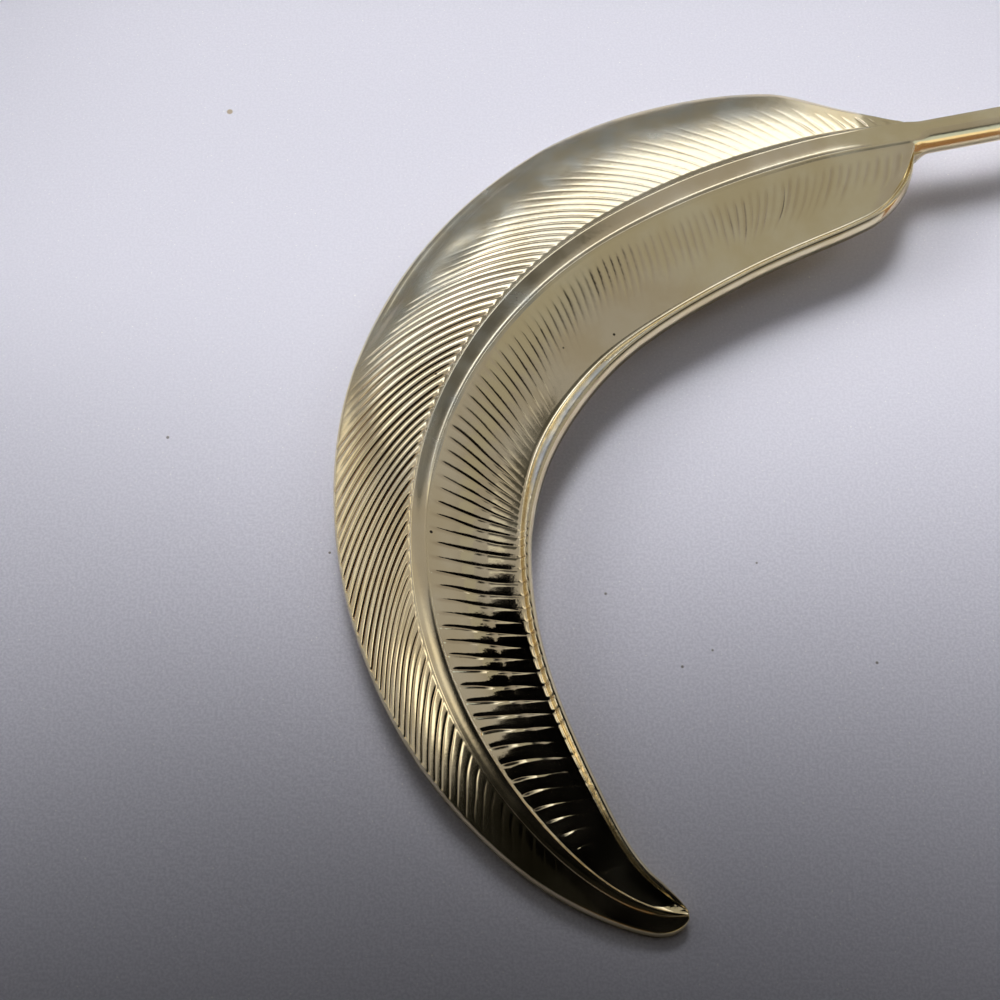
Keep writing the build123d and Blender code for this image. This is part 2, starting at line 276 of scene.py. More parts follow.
def inner_width(station):
    width = INNER_VANE_WIDTH * shape_at("inner", station)
    return width * tip_factor(station) * corner_factor(station)


def height(name, station):
    return RIDGE_HEIGHT * shape_at(name, station)


def half_rachis(station):
    return RACHIS_WIDTH * shape_at("rachis", station) / 2 * tip_factor(station)


def rim_width(station, width):
    """Plan width of the raised rim with its flank."""
    return np.minimum(RIM_WIDTH * shape_at("bead", station) + FLANK_LEAN, RIM_MOST * width)


def crease(station):
    """1 along the shoulder's crease and 0 beyond it."""
    at = station / FEATHER_LENGTH
    rise = smooth(CREASE_START, CREASE_START + CREASE_FADE, at)
    return rise * (1 - smooth(CREASE_END - CREASE_FADE, CREASE_END, at))


def flank_lean(station, width):
    """Plan width of the outer edge's flank."""
    return np.minimum(SHOULDER_LEAN + CREASE_LEAN * crease(station), width / 3)


def dent(at, offset):
    """1 in the middle of the dent in the outer vane, and 0 away from it."""
    along_it = (at - DENT_AT * FEATHER_LENGTH) / (DENT_STRETCH * DENT_RADIUS)
    across_it = (np.abs(offset) - DENT_ACROSS) / DENT_RADIUS
    return np.exp(-(along_it ** 2 + across_it ** 2))


def end_station(station, sweep, width):
    """Where a barb that leaves the rachis at this station meets the edge."""
    left = FEATHER_LENGTH - station
    return station + np.minimum(sweep * width(np.maximum(station, 0.0)), SWEEP_MOST * left)


class Barbs:
    """Groove places on one vane, and the row of mesh points that follows each."""

    def __init__(self, pitch_name, seed, widen=0.0):
        random = np.random.default_rng(seed)
        centres = []
        station = PLAIN_BASE_LENGTH
        while station < FEATHER_LENGTH - PLAIN_TIP_LENGTH:
            centres.append(station)
            station += float(barb_at(pitch_name, station)) * random.uniform(*PITCH_RANGE)
        self.centres = np.array(centres)
        rows = np.round(self.centres / FEATHER_LENGTH * ROW_COUNT)
        rows = np.concatenate([[0], rows, [ROW_COUNT]])
        places = np.concatenate([[0.0], self.centres, [FEATHER_LENGTH]])
        self.stations = np.interp(np.arange(ROW_COUNT + 1), rows, places)
        numbers = np.arange(len(centres))
        self.number = np.interp(self.stations, self.centres, numbers)
        self.phase = self.number - np.round(self.number)
        nearest = np.round(self.number).astype(int)
        self.depth = random.uniform(*DEPTH_RANGE, len(centres))[nearest]
        self.jitter = random.uniform(-REACH_JITTER, REACH_JITTER, (len(centres), 2))[nearest]
        wander = random.normal(0.0, BARB_WANDER, (len(centres), 3))
        self.wander = [np.interp(self.number, numbers, wander[:, k]) for k in range(3)]
        inside = self.stations > PLAIN_BASE_LENGTH - BARBS_BEFORE
        inside &= self.stations < self.centres[-1] + BARBS_AFTER
        self.inside = inside.astype(float)
        self.wide = 1 + widen * (1 - smooth(*GOUGE_FADE, self.stations / FEATHER_LENGTH))

    def drift(self, share):
        """Small shift of each barb along the feather, so that none runs dead true."""
        waves = [np.sin(math.pi * (k + 1) * share) for k in range(3)]
        return sum(w[:, None] * wave[None, :] for w, wave in zip(self.wander, waves))

    def groove(self):
        return np.exp(-(self.phase / (GROOVE_SHARE * self.wide)) ** 2)

    def pillow(self):
        return (1 - 2 * np.abs(self.phase)) ** 2


OUTER = Barbs("outer_pitch", BARB_SEED)
INNER = Barbs("inner_pitch", BARB_SEED + 1, GOUGE_WIDEN)
MIDDLE_ROWS = (OUTER.stations + INNER.stations) / 2


def outer_vane(shares, under=0.0, relief=True):
    """Points of the outer vane as station, offset, height and groove arrays."""
    station = OUTER.stations[:, None]
    share = np.asarray(shares, float)[None, :]
    end = end_station(station, barb_at("outer_sweep", station), outer_width)
    width = outer_width(end)
    at = station + (end - station) * share ** OUTER_BEND
    if relief:
        at = at + OUTER.drift(share[0]) * 4 * share * (1 - share) * OUTER.inside[:, None]
    at = np.clip(at, 0, FEATHER_LENGTH)
    foot = height("ridge", at) - RACHIS_RISE * tip_factor(at)
    power = DOME_POWER * shape_at("dome", station)
    drop = DOME_SLOPE * share + (1 - DOME_SLOPE) * np.clip(share, 0, 1) ** power
    z = foot - (foot - height("edge", at)) * drop
    lean = flank_lean(end, width)
    offset = half_rachis(station) + (width - lean) * share
    groove = np.zeros_like(z)
    if relief:
        reach = barb_at("outer_reach", station) + OUTER.jitter[:, :1]
        mask = smooth(*OUTER_FADE_IN, share) * (1 - smooth(*OUTER_FADE_OUT, share - reach))
        mask = mask * OUTER.inside[:, None] * narrow_factor(width)
        groove = mask * barb_at("outer_cut", station) * (OUTER.groove() * OUTER.depth)[:, None]
        pillow = mask * barb_at("outer_pillow", station) * OUTER.pillow()[:, None]
        worn = dent(at, offset)
        groove = groove * (1 - DENT_WORN * worn)
        z = z - GROOVE_DEPTH * groove - PILLOW_HEIGHT * pillow - DENT_DEPTH * worn
        line = np.exp(-((share - CREASE_ACROSS) / CREASE_WIDTH) ** 2)
        z = z - CREASE_DEPTH * crease(end) * line
    return at, -offset, z - under * wall(at), groove


def inner_vane(shares, under=0.0, relief=True):
    """Points of the inner vane, from the bead's foot to the rim's foot."""
    station = INNER.stations[:, None]
    share = np.asarray(shares, float)[None, :]
    end = end_station(station, barb_at("inner_sweep", station), inner_width)
    width = inner_width(end)
    at = station + (end - station) * share ** INNER_BEND
    if relief:
        at = at + INNER.drift(share[0]) * 4 * share * (1 - share) * INNER.inside[:, None]
    at = np.clip(at, 0, FEATHER_LENGTH)
    rim = rim_width(end, width)
    dish = DISH_DEPTH * shape_at("dish", station) * np.minimum(1.0, width / INNER_VANE_WIDTH)
    near = height("ridge", at) - BEAD_STEP * RACHIS_RISE * tip_factor(at)
    far = height("rim", at) - RIM_RISE * narrow_factor(width)
    z = near + (far - near) * share - dish * np.sin(math.pi * share)
    offset = half_rachis(station) + (width - rim) * share
    groove = np.zeros_like(z)
    if relief:
        first = barb_at("inner_from", station) + INNER_START_JITTER * INNER.jitter[:, :1]
        reach = barb_at("inner_reach", station) + INNER.jitter[:, 1:]
        mask = smooth(*INNER_FADE_IN, share - first)
        mask = mask * (1 - smooth(*INNER_FADE_OUT, share - reach))
        mask = mask * INNER.inside[:, None] * narrow_factor(width)
        deeper = smooth(*INNER_DEEPER, station / FEATHER_LENGTH)
        deeper = deeper * (DEEPER_AT_BEAD - DEEPER_FALL * share)
        groove = mask * barb_at("inner_cut", station) * (INNER.groove() * INNER.depth)[:, None]
        groove = groove * (1 + deeper)
        pillow = mask * barb_at("inner_pillow", station) * INNER.pillow()[:, None]
        z = z - GROOVE_DEPTH * groove - PILLOW_HEIGHT * pillow
    return at, offset, z - under * wall(at), groove


# Mesh columns across the rachis, from the outer to the inner side, and its fall
# below the ridge at the base and toward the tip, as shares of RACHIS_RISE
BAND_SIDES = (
    -0.96, -0.9, -0.82, -0.72, -0.58, -0.4, -0.15, 0.1,
    0.3, 0.46, 0.58, 0.68, 0.76, 0.84, 0.91, 0.96,
)
BAND_SHAPE = {
    "side": np.array((-1.0, -0.86, -0.4, 0.0, 0.45, 0.76, 1.0)),
    "base": np.array((1.0, 0.36, 0.50, 0.62, 0.58, 0.0, BEAD_STEP)),
    "tip": np.array((1.0, 0.72, 0.36, 0.16, 0.03, 0.05, BEAD_STEP)),
}


def rachis_band():
    """The raised rachis: a shallow channel and a bead, rounder toward the tip."""
    station = MIDDLE_ROWS[:, None]
    side = np.array(BAND_SIDES)[None, :]
    base = np.interp(side, BAND_SHAPE["side"], BAND_SHAPE["base"])
    tip = np.interp(side, BAND_SHAPE["side"], BAND_SHAPE["tip"])
    share = smooth(*BAND_CHANGE, station / FEATHER_LENGTH)
    fall = base + (tip - base) * share
    half = half_rachis(station)
    z = height("ridge", station) - RACHIS_RISE * tip_factor(station) * fall
    lead = (1 - side) / 2 * (OUTER.stations[:, None] - station)
    lead = lead + (1 + side) / 2 * (INNER.stations[:, None] - station)
    return station + lead, half * side, z, np.zeros_like(z)


def inner_rim(shares):
    """The raised rim, from its foot over the crest to the lower edge."""
    station = INNER.stations[:, None]
    share = np.asarray(shares, float)[None, :]
    end = end_station(station, barb_at("inner_sweep", station), inner_width)
    end = np.clip(end, 0, FEATHER_LENGTH)
    width = inner_width(end)
    inside = half_rachis(station) + width
    lean = np.minimum(FLANK_LEAN, RIM_LEAN_MOST * width)
    rim = rim_width(end, width)
    far = height("rim", end) - RIM_RISE * narrow_factor(width)
    crest = height("rim", end)
    low = crest - RIM_EDGE * wall(end)
    climb = np.clip(share, 0, 1)
    down = np.clip(share - 1, 0, 1)
    z = far + (crest - far) * np.sin(math.pi / 2 * climb) ** RIM_POWER
    z = z - (crest - low) * (1 - np.cos(math.pi / 2 * down))
    offset = inside - rim + (rim - lean) * climb + lean * np.sin(math.pi / 2 * down)
    scallop = smooth(*SCALLOP_START, station / FEATHER_LENGTH)
    scallop = scallop * (1 - smooth(*SCALLOP_END, station / FEATHER_LENGTH))
    mask = SCALLOP * scallop * (1 - smooth(*SCALLOP_ACROSS, share)) * INNER.inside[:, None]
    groove = mask * (INNER.groove() * INNER.depth)[:, None]
    z = z - GROOVE_DEPTH * groove - PILLOW_HEIGHT * mask * INNER.pillow()[:, None]
    return end + 0 * share, offset, z, groove


def outer_edge(shares):
    """The rounded outer edge, from the lower corner up to the shoulder."""
    station = OUTER.stations[:, None]
    share = np.asarray(shares, float)[None, :]
    end = end_station(station, barb_at("outer_sweep", station), outer_width)
    end = np.clip(end, 0, FEATHER_LENGTH)
    width = outer_width(end)
    lean = flank_lean(end, width)
    outside = half_rachis(station) + width
    top = height("edge", end)
    turn = math.pi / 2 * share
    offset = outside - lean * (1 - np.cos(turn))
    z = top - OUTER_EDGE * wall(end) * (1 - np.sin(turn))
    return end + 0 * share, -offset, z, np.zeros_like(z)


def underside_middle():
    """The line under the rachis, in the hollow back."""
    station = MIDDLE_ROWS[:, None]
    z = height("ridge", station) - wall(station) - RACHIS_RISE * tip_factor(station)
    return station, 0 * station, z, np.zeros_like(z)


# Shares at which the mesh columns lie. Each part has its maker, and the angles in
# degrees of its first and last column on the round quill.
OUTER_SHARES = 1 - np.linspace(0, 1, 27) ** 1.15
INNER_SHARES = np.linspace(0, 1, 25)
RIM_SHARES = np.array((0.16, 0.32, 0.5, 0.7, 0.88, 1.0, 1.2, 1.42, 1.66, 2.0))
EDGE_SHARES = np.array((0.0, 0.25, 0.5, 0.72))
UNDER_SHARES = np.array((0.97, 0.8, 0.6, 0.4, 0.2))
COLUMN_PARTS = [
    (lambda: outer_edge(EDGE_SHARES), 205, 200),
    (lambda: outer_vane(OUTER_SHARES), 198, 168),
    (rachis_band, 165, 20),
    (lambda: inner_vane(INNER_SHARES), 17, 0),
    (lambda: inner_rim(RIM_SHARES), -2, -20),
    (lambda: inner_vane(UNDER_SHARES, 1.0, False), -30, -80),
    (underside_middle, -92, -92),
    (lambda: outer_vane(UNDER_SHARES[::-1], 1.0, False), -100, -150),
]
EDGE_PART, OUTER_PART, BAND_PART, INNER_PART, RIM_PART = range(5)

# Looks by place: base roughness of each column part, in the order above, and of
# the quill, and how much smoother the inner vane gets toward the tip
PART_ROUGHNESS = (0.16, 0.15, 0.17, 0.13, 0.15, 0.3, 0.3, 0.3)
QUILL_ROUGHNESS = 0.22
TIP_SMOOTHER = 0.07
TIP_SMOOTHER_FROM = (0.50, 0.62)
# Worn middle of the feather, the worn part of the rim's top across it, and the
# least wear along the rest of the rim
WORN_FROM = (0.36, 0.40)
WORN_TO = (0.55, 0.60)
WORN_TOP_FROM = (0.10, 0.25)
WORN_TOP_TO = (0.45, 0.60)
LEAST_WEAR = 0.2
# Cloudy band along the outer edge: across the vane, and along the feather
CLOUD_ACROSS = (0.50, 0.75)
CLOUD_FROM = (0.06, 0.14)
CLOUD_TO = (0.40, 0.56)


def feather_looks(at, offset):
    """Roughness, wear and cloud for each mesh point, by its place on the feather."""
    sizes = [make()[0].shape[1] for make, first, last in COLUMN_PARTS]
    part = np.repeat(np.arange(len(sizes)), sizes)[None, :] + 0 * at
    share = at / FEATHER_LENGTH
    rough = np.array(PART_ROUGHNESS)[part.astype(int)]
    smoother = TIP_SMOOTHER * smooth(*TIP_SMOOTHER_FROM, share)
    rough = np.where(part == INNER_PART, rough - smoother, rough)
    rough = np.where(share < 0.0, QUILL_ROUGHNESS, rough)
    middle = smooth(*WORN_FROM, share) * (1 - smooth(*WORN_TO, share))
    across = np.concatenate([np.linspace(0, 1, size) for size in sizes])[None, :] + 0 * at
    top = smooth(*WORN_TOP_FROM, across) * (1 - smooth(*WORN_TOP_TO, across))
    wear = np.where(part == RIM_PART, np.maximum(middle, LEAST_WEAR) * top, 0.0)
    side = np.abs(offset) / np.maximum(outer_width(np.clip(at, 1.0, FEATHER_LENGTH)), 1.0)
    band = smooth(*CLOUD_ACROSS, side) * smooth(*CLOUD_FROM, share)
    band = band * (1 - smooth(*CLOUD_TO, share))
    cloud = np.where((part == OUTER_PART) | (part == EDGE_PART), band, 0.0)
    cloud = np.where(part == BAND_PART, middle, cloud)
    return rough, wear, cloud


def feather_rings():
    """All mesh rings of the vanes: station, offset, height and groove arrays."""
    parts = [make() for make, first, last in COLUMN_PARTS]
    rings = [np.concatenate([part[k] for part in parts], axis=1) for k in range(4)]
    angles = [
        np.linspace(first, last, part[0].shape[1])
        for part, (make, first, last) in zip(parts, COLUMN_PARTS)
    ]
    return rings, np.radians(np.concatenate(angles))


def quill_rings(angles):
    """Rings of the round quill, from its rounded end to the joint."""
    radius = QUILL_DIAMETER / 2
    middle = float(height("ridge", 0.0)) - radius
    rounds = np.linspace(0.08, 1.0, 8) * math.pi / 2
    stations = list(-QUILL_LENGTH + radius * (1 - np.cos(rounds)))
    radii = list(radius * np.sin(rounds))
    straight = np.linspace(-QUILL_LENGTH + 1.2 * radius, -QUILL_JOINT, 30)
    stations += list(straight)
    radii += [radius] * len(straight)
    stations = np.array(stations)[:, None] + 0 * angles
    radii = np.array(radii)[:, None]
    return stations, radii * np.cos(angles), middle + radii * np.sin(angles)


def join_rings():
    """One stack of rings from the quill's end to the tip, with the joint blended."""
    (at, offset, z, groove), angles = feather_rings()
    quill = quill_rings(angles)
    radius = QUILL_DIAMETER / 2
    middle = float(height("ridge", 0.0)) - radius
    lead = np.linspace(-QUILL_JOINT, 0, 14)[1:-1]
    at_lead = lead[:, None] + (at[0] - MIDDLE_ROWS[0])[None, :]
    first = [at_lead, offset[0] + 0 * at_lead, z[0] + 0 * at_lead, 0 * at_lead]
    stack = [np.concatenate([a, b]) for a, b in zip(first, (at, offset, z, groove))]
    along_joint = np.concatenate([lead, MIDDLE_ROWS])
    share = smooth(-QUILL_JOINT, 0.25 * QUILL_JOINT, along_joint)[:, None]
    rod = (
        along_joint[:, None] + 0 * angles,
        radius * np.cos(angles),
        middle + radius * np.sin(angles),
    )
    for k in range(3):
        stack[k] = rod[k] + (stack[k] - rod[k]) * share
    stack[3] = stack[3] * share
    plain = (quill[0], quill[1], quill[2], 0 * quill[0])
    return [np.concatenate([a, b]) for a, b in zip(plain, stack)]


def feather_points():
    """The feather's mesh points in metres, set where the solid lies."""
    at, offset, z, groove = join_rings()
    x, y = place(at, offset)
    points = np.stack([x, y, z], axis=-1)
    low, high = points.min(axis=(0, 1)), points.max(axis=(0, 1))
    cad_low, cad_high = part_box("feather")
    shift = [
        (cad_low[k] + cad_high[k]) / 2 / METRES - (low[k] + high[k]) / 2
        for k in (0, 1)
    ]
    shift.append(cad_low[2] / METRES - low[2])
    return (points + np.array(shift)) * METRES, at, offset, groove


def mesh_object(name, points, faces):
    mesh = bpy.data.meshes.new(name)
    mesh.from_pydata(points.tolist(), [], faces)
    mesh.validate()
    mesh.shade_smooth()
    obj = bpy.data.objects.new(name, mesh)
    bpy.context.scene.collection.objects.link(obj)
    return obj


def add_value(obj, name, values):
    """A named number per mesh point, which the material reads."""
    attribute = obj.data.attributes.new(name, "FLOAT", "POINT")
    attribute.data.foreach_set("value", np.asarray(values, np.float32).ravel())


def make_feather():
    """The dressed feather as one closed mesh."""
    points, at, offset, groove = feather_points()
    rows, columns = at.shape
    i = np.arange(rows - 1)[:, None] * columns
    j = np.arange(columns)[None, :]
    k = (j + 1) % columns
    quads = np.stack([i + j, i + columns + j, i + columns + k, i + k], axis=-1)
    faces = [tuple(q) for q in quads.reshape(-1, 4).tolist()]
    faces.append(tuple(range(columns)))
    faces.append(tuple((rows - 1) * columns + c for c in reversed(range(columns))))
    obj = mesh_object("feather_gold", points.reshape(-1, 3), faces)
    add_value(obj, "groove", groove)
    rough, wear, cloud = feather_looks(at, offset)
    add_value(obj, "rough", rough)
    add_value(obj, "wear", wear)
    add_value(obj, "cloud", cloud)
    return obj


def new_material(name):
    material = bpy.data.materials.new(name)
    material.use_nodes = True
    tree = material.node_tree
    tree.nodes.clear()
    output = tree.nodes.new("ShaderNodeOutputMaterial")
    shader = tree.nodes.new("ShaderNodeBsdfPrincipled")
    tree.links.new(shader.outputs["BSDF"], output.inputs["Surface"])
    return material, tree, shader


class Nodes:
    """Short calls for a node tree's math."""

    def __init__(self, tree):
        self.tree = tree

    def add(self, kind, **settings):
        node = self.tree.nodes.new(kind)
        for name, value in settings.items():
            setattr(node, name, value)
        return node

    def feed(self, socket, value):
        if hasattr(value, "is_output"):
            self.tree.links.new(value, socket)
        else:
            socket.default_value = value

    def math(self, operation, first, second=0.0, clamp=False):
        node = self.add("ShaderNodeMath", operation=operation, use_clamp=clamp)
        self.feed(node.inputs[0], first)
        self.feed(node.inputs[1], second)
        return node.outputs[0]

    def ramp(self, value, low, high, first=0.0, last=1.0):
        node = self.add("ShaderNodeMapRange", interpolation_type="SMOOTHSTEP")
        self.feed(node.inputs["Value"], value)
        ends = {"From Min": low, "From Max": high, "To Min": first, "To Max": last}
        for name, number in ends.items():
            self.feed(node.inputs[name], number)
        return node.outputs["Result"]

    def mix(self, factor, first, second):
        node = self.add("ShaderNodeMix", data_type="RGBA")
        self.feed(node.inputs["Factor"], factor)
        self.feed(node.inputs["A"], first)
        self.feed(node.inputs["B"], second)
        return node.outputs["Result"]


# Colours of the metal, and the sizes of its patterns per metre
GOLD_LIGHT = (0.89, 0.78, 0.52, 1)
GOLD_DEEP = (0.82, 0.69, 0.42, 1)
GOLD_CLOUD = (0.62, 0.61, 0.49, 1)
GROOVE_BROWN = (0.30, 0.17, 0.08, 1)
WORN_GREY = (0.50, 0.50, 0.46, 1)
SPECK_DARK = (0.04, 0.03, 0.02, 1)
BLOTCH_SCALE = 240
CLOUD_SCALE = 420
FINE_SCALE = 2600
# Fine bumps: height in metres, and how many times rougher worn metal is
FINE_HEIGHT = 0.000004
WORN_BUMP = 22.0
WORN_ROUGHNESS = 0.20
CLOUD_ROUGHNESS = 0.10
GROOVE_TINT = 0.75
CLOUD_TINT = 0.8
# Dark specks in the finish: x, y and radius in millimetres
SPECKS = ((-22.2, -6.0, 0.13), (-22.0, 6.3, 0.12), (-8.9, 10.3, 0.12), (-12.7, 9.0, 0.08))
# The pin finding: its two tones, and its least and most roughness
FINDING_TONES = ((0.62, 0.48, 0.26, 1), (0.80, 0.68, 0.42, 1))
FINDING_SCALE = 700
FINDING_ROUGHNESS = (0.25, 0.42)

# Side of the square floor in metres
FLOOR_SIDE = 3.0
FLOOR_ROUGHNESS = 0.85
FLOOR_PALE = (0.80, 0.80, 0.89, 1)
FLOOR_DEEP = (0.76, 0.76, 0.85, 1)
FLOOR_WHITE = (1.0, 1.0, 1.0, 1)
FLOOR_SPECK = (0.25, 0.24, 0.24, 1)
FLOOR_BROWN = (0.46, 0.38, 0.28, 1)
# The floor gets grainier toward its near side, and painted shade makes its tone darker there,
# between these two y in metres
FLOOR_NEAR_SHADE_TONE = (0.70, 0.70, 0.79, 1)
GRAIN_AND_SHADE_NEAR = -0.014
GRAIN_AND_SHADE_FAR = 0.016
GRAIN_STRENGTH = (0.85, 0.2)
GRAIN_HEIGHT = 0.00005
GRAIN_SCALE = 1800
TONE_SCALE = 5200
WHITE_SCALE = 5600
# Dark specks on the floor: x, y and radius in millimetres
FLOOR_SPECKS = (
    (-42.3, 4.2, 0.15), (-29.8, -5.2, 0.12), (-9.9, -8.5, 0.12), (-4.7, -14.0, 0.13),
    (-2.5, -12.8, 0.1), (1.1, -6.2, 0.1), (9.0, -13.8, 0.13),
)
# A larger pale brown stain: x, y and radius in millimetres
FLOOR_STAINS = ((-39.6, 34.3, 0.30),)


def value_of(kit, name):
    return kit.add("ShaderNodeAttribute", attribute_name=name).outputs["Fac"]


def noise(kit, where, scale, detail=4.0):
    node = kit.add("ShaderNodeTexNoise")
    node.inputs["Scale"].default_value = scale
    node.inputs["Detail"].default_value = detail
    kit.feed(node.inputs["Vector"], where)
    return node.outputs["Fac"]


def specks(kit, where, places):
    """1 inside one of the specks, and 0 outside."""
    total = 0.0
    for x, y, radius in places:
        flat = kit.add("ShaderNodeVectorMath", operation="MULTIPLY")
        kit.feed(flat.inputs[0], where)
        flat.inputs[1].default_value = (1, 1, 0)
        far = kit.add("ShaderNodeVectorMath", operation="DISTANCE")
        kit.feed(far.inputs[0], flat.outputs["Vector"])
        far.inputs[1].default_value = (x * METRES, y * METRES, 0)
        spot = kit.ramp(far.outputs["Value"], 0.6 * radius * METRES, radius * METRES, 1.0, 0.0)
        total = kit.math("ADD", total, spot, clamp=True)
    return total


def gold_material():
    material, tree, shader = new_material("pale_gold_worn")
    kit = Nodes(tree)
    shader.inputs["Metallic"].default_value = 1.0
    where = kit.add("ShaderNodeTexCoord").outputs["Object"]
    blotch = noise(kit, where, BLOTCH_SCALE)
    cloudy = noise(kit, where, CLOUD_SCALE, 6.0)
    groove = kit.math("MULTIPLY", value_of(kit, "groove"), GROOVE_TINT, clamp=True)
    wear = value_of(kit, "wear")
    patches = kit.ramp(cloudy, 0.35, 0.68, 0.25, 1.0)
    cloud = kit.math("MULTIPLY", value_of(kit, "cloud"), patches)
    gold = kit.mix(kit.ramp(blotch, 0.35, 0.65), GOLD_DEEP, GOLD_LIGHT)
    gold = kit.mix(kit.math("MULTIPLY", cloud, CLOUD_TINT), gold, GOLD_CLOUD)
    gold = kit.mix(kit.math("MULTIPLY", wear, kit.ramp(cloudy, 0.3, 0.6)), gold, WORN_GREY)
    gold = kit.mix(groove, gold, GROOVE_BROWN)
    gold = kit.mix(specks(kit, where, SPECKS), gold, SPECK_DARK)
    kit.feed(shader.inputs["Base Color"], gold)
    rough = kit.math("ADD", value_of(kit, "rough"), kit.ramp(blotch, 0.3, 0.7, -0.03, 0.05))
    rough = kit.math("ADD", rough, kit.math("MULTIPLY", wear, WORN_ROUGHNESS))
    rough = kit.math("ADD", rough, kit.math("MULTIPLY", cloud, CLOUD_ROUGHNESS))
    kit.feed(shader.inputs["Roughness"], rough)
    coarser = kit.math("ADD", kit.math("MULTIPLY", wear, WORN_BUMP), 1.0)
    fine = kit.math("MULTIPLY", noise(kit, where, FINE_SCALE, 3.0), coarser)
    bump = kit.add("ShaderNodeBump")
    bump.inputs["Strength"].default_value = 1.0
    bump.inputs["Distance"].default_value = FINE_HEIGHT
    kit.feed(bump.inputs["Height"], fine)
    kit.feed(shader.inputs["Normal"], bump.outputs["Normal"])
    return material


def finding_material():
    material, tree, shader = new_material("finding_satin")
    kit = Nodes(tree)
    shader.inputs["Metallic"].default_value = 1.0
    pattern = noise(kit, kit.add("ShaderNodeTexCoord").outputs["Object"], FINDING_SCALE)
    ramp = kit.add("ShaderNodeValToRGB")
    for element, tone in zip(ramp.color_ramp.elements, FINDING_TONES):
        element.color = tone
    kit.feed(ramp.inputs["Fac"], pattern)
    kit.feed(shader.inputs["Base Color"], ramp.outputs["Color"])
    rough = kit.add("ShaderNodeMapRange")
    rough.inputs["To Min"].default_value, rough.inputs["To Max"].default_value = FINDING_ROUGHNESS
    kit.feed(rough.inputs["Value"], pattern)
    kit.feed(shader.inputs["Roughness"], rough.outputs["Result"])
    return material


def floor_material():
    material, tree, shader = new_material("pale_floor")
    kit = Nodes(tree)
    shader.inputs["Roughness"].default_value = FLOOR_ROUGHNESS
    where = kit.add("ShaderNodeTexCoord").outputs["Object"]
    split = kit.add("ShaderNodeSeparateXYZ")
    kit.feed(split.inputs[0], where)
    # Painted shade: the floor's tone turns darker toward its near side
    near = kit.ramp(split.outputs["Y"], GRAIN_AND_SHADE_NEAR, GRAIN_AND_SHADE_FAR, 1.0, 0.0)
    floor_tone_with_shade = kit.mix(near, FLOOR_DEEP, FLOOR_NEAR_SHADE_TONE)
    tone = kit.mix(kit.ramp(noise(kit, where, TONE_SCALE, 2.0), 0.36, 0.64), floor_tone_with_shade, FLOOR_PALE)
    white = kit.ramp(noise(kit, where, WHITE_SCALE, 1.0), 0.71, 0.78)
    tone = kit.mix(white, tone, FLOOR_WHITE)
    tone = kit.mix(specks(kit, where, FLOOR_SPECKS), tone, FLOOR_SPECK)
    tone = kit.mix(specks(kit, where, FLOOR_STAINS), tone, FLOOR_BROWN)
    kit.feed(shader.inputs["Base Color"], tone)
    strength = kit.ramp(split.outputs["Y"], GRAIN_AND_SHADE_NEAR, GRAIN_AND_SHADE_FAR, *GRAIN_STRENGTH)
    bump = kit.add("ShaderNodeBump")
    kit.feed(bump.inputs["Strength"], strength)
    bump.inputs["Distance"].default_value = GRAIN_HEIGHT
    kit.feed(bump.inputs["Height"], noise(kit, where, GRAIN_SCALE, 3.0))
    kit.feed(shader.inputs["Normal"], bump.outputs["Normal"])
    return material


def make_floor():
    half = FLOOR_SIDE / 2
    corners = np.array([(-half, -half, 0), (half, -half, 0), (half, half, 0), (-half, half, 0)])
    floor = mesh_object("floor", corners, [(0, 1, 2, 3)])
    floor.data.materials.append(floor_material())


def direction(azimuth, elevation):
    """Unit vector toward a sky direction: azimuth 0 is +Y, 90 is +X."""
    a, e = math.radians(azimuth), math.radians(elevation)
    return Vector((math.sin(a) * math.cos(e), math.cos(a) * math.cos(e), math.sin(e)))


# Soft boxes for the floor, most with narrow beams that fall off toward the near
# side: azimuth, elevation, distance, aim x and y, width, height, spread, watts.
# Angles are degrees, lengths metres.
LIGHT_COLOUR = (1.0, 0.99, 1.0)
FLOOR_LIGHTS = {
    "floor_low": (5.7, 46.0, 0.090, -0.0143, 0.0349, 0.28, 0.080, 27.1, 0.0125),
    "floor_high": (-6.3, 55.0, 0.070, -0.0050, 0.0340, 0.30, 0.080, 27.0, 0.0332),
    "floor_side": (-70.0, 33.0, 0.110, 0.0387, 0.0650, 0.17, 0.090, 38.2, 0.0242),
    "floor_right": (75.0, 42.0, 0.110, -0.0560, 0.0758, 0.17, 0.090, 34.0, 0.0072),
    "floor_fill": (0.0, 70.0, 0.600, -0.017, 0.030, 0.60, 0.60, 180.0, 0.29),
}
# Cards that only the metal mirrors. First a black one above the near side, which
# the tip's side mirrors: corners as x and y in metres
CARD_HEIGHT = 0.105
CARD_CORNERS = (
    (-0.028, 0.016), (0.010, 0.014), (0.040, 0.008), (0.075, -0.010), (0.300, -0.070),
    (0.300, -0.120), (-0.072, -0.120), (-0.028, -0.025),
)
# Grey card above the middle, which the rachis' channel mirrors
GREY_CORNERS = (
    (-0.030, 0.024), (-0.020, 0.024), (-0.012, 0.033), (0.014, 0.033), (0.014, 0.058),
    (0.002, 0.076), (-0.034, 0.076), (-0.042, 0.045),
)
GREY_GLOW = 0.07
# Pale strip between the two, which the inner vane mirrors half-way along
PALE_CORNERS = (
    (-0.020, 0.0175), (0.008, 0.0175), (0.008, 0.024), (-0.014, 0.024), (-0.020, 0.0215),
)
PALE_GLOW = 0.62
PALE_HEIGHT = CARD_HEIGHT - 0.001
# Black side card over the bay, which the inner vane mirrors toward the tip: y and z
SIDE_CARD_X = 0.012
SIDE_CORNERS = (
    (-0.120, 0.012), (-0.003, 0.012), (-0.003, 0.020), (0.000, 0.027), (0.0045, 0.045),
    (0.0060, 0.060), (0.0060, 0.075), (-0.120, 0.075),
)
CARD_COLOUR = (0.002, 0.002, 0.002, 1)
